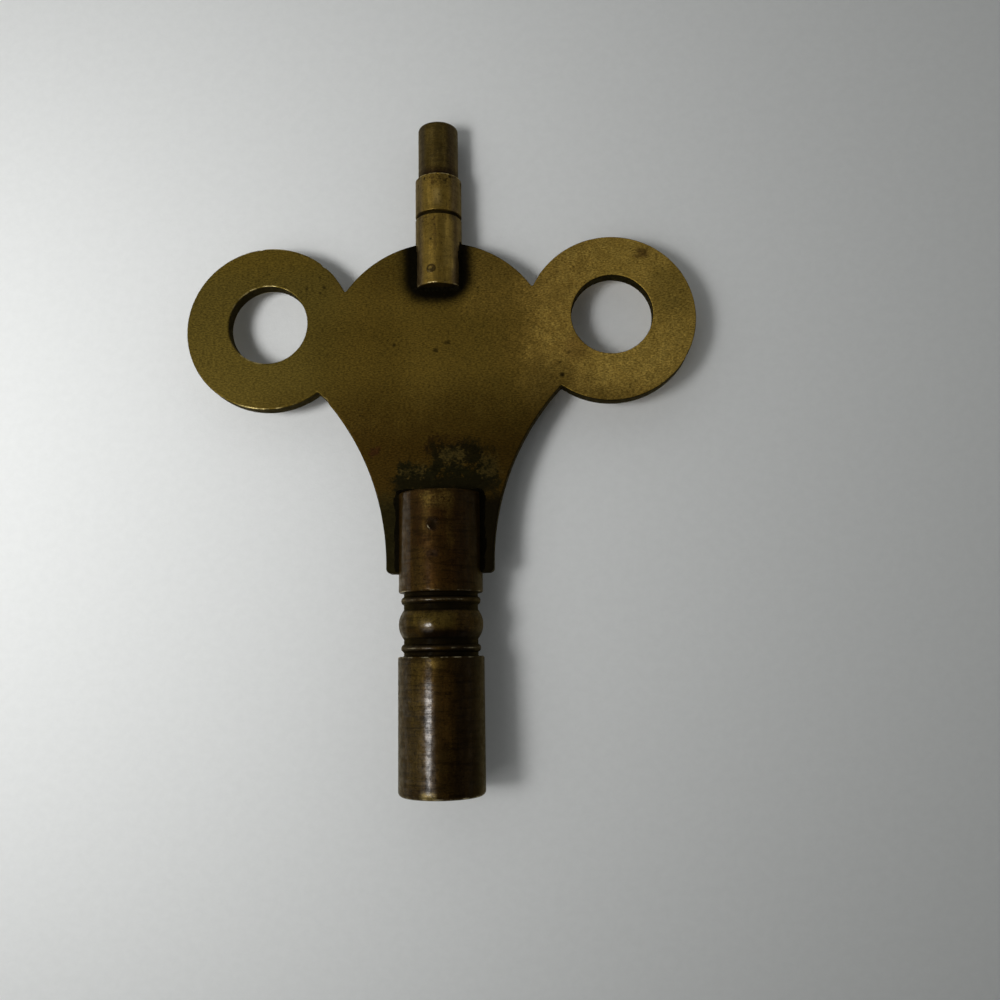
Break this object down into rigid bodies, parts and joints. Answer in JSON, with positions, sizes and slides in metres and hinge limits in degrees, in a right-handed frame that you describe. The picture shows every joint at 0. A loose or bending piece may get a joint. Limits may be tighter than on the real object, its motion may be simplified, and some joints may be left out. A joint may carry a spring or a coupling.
{
  "type": "clock key",
  "caption": "Double-ended brass clock key: a flat bow with ring ears, a turned winding barrel with a square socket and, opposite, a slim regulator barrel with a smaller square socket",
  "frame": {"origin": "the middle of the winding socket's mouth, on the key axis", "axes": "+Y along the key axis from the winding socket to the regulator socket, +X across the ears, +Z square to the bow plate"},
  "size_m": [0.0494, 0.0648, 0.008],
  "materials": {
    "bow": "aged, satin, mottled olive patina",
    "winding": "aged, satin, dark brown patina with lathe lines",
    "regulator": "aged, satin, turned",
    "tip": "aged, satin, turned",
    "pins": "aged, filed flush",
    "solder": "dull, darkened spelter"
  },
  "bodies": {
    "root": {"bow_plate": "bow", "winding_barrel": "winding", "winding_pin_upper": "pins", "winding_pin_lower": "pins", "winding_solder": "solder", "regulator_barrel": "regulator", "regulator_tip": "tip", "regulator_pin": "pins", "regulator_solder": "solder"}
  },
  "joints": []
}
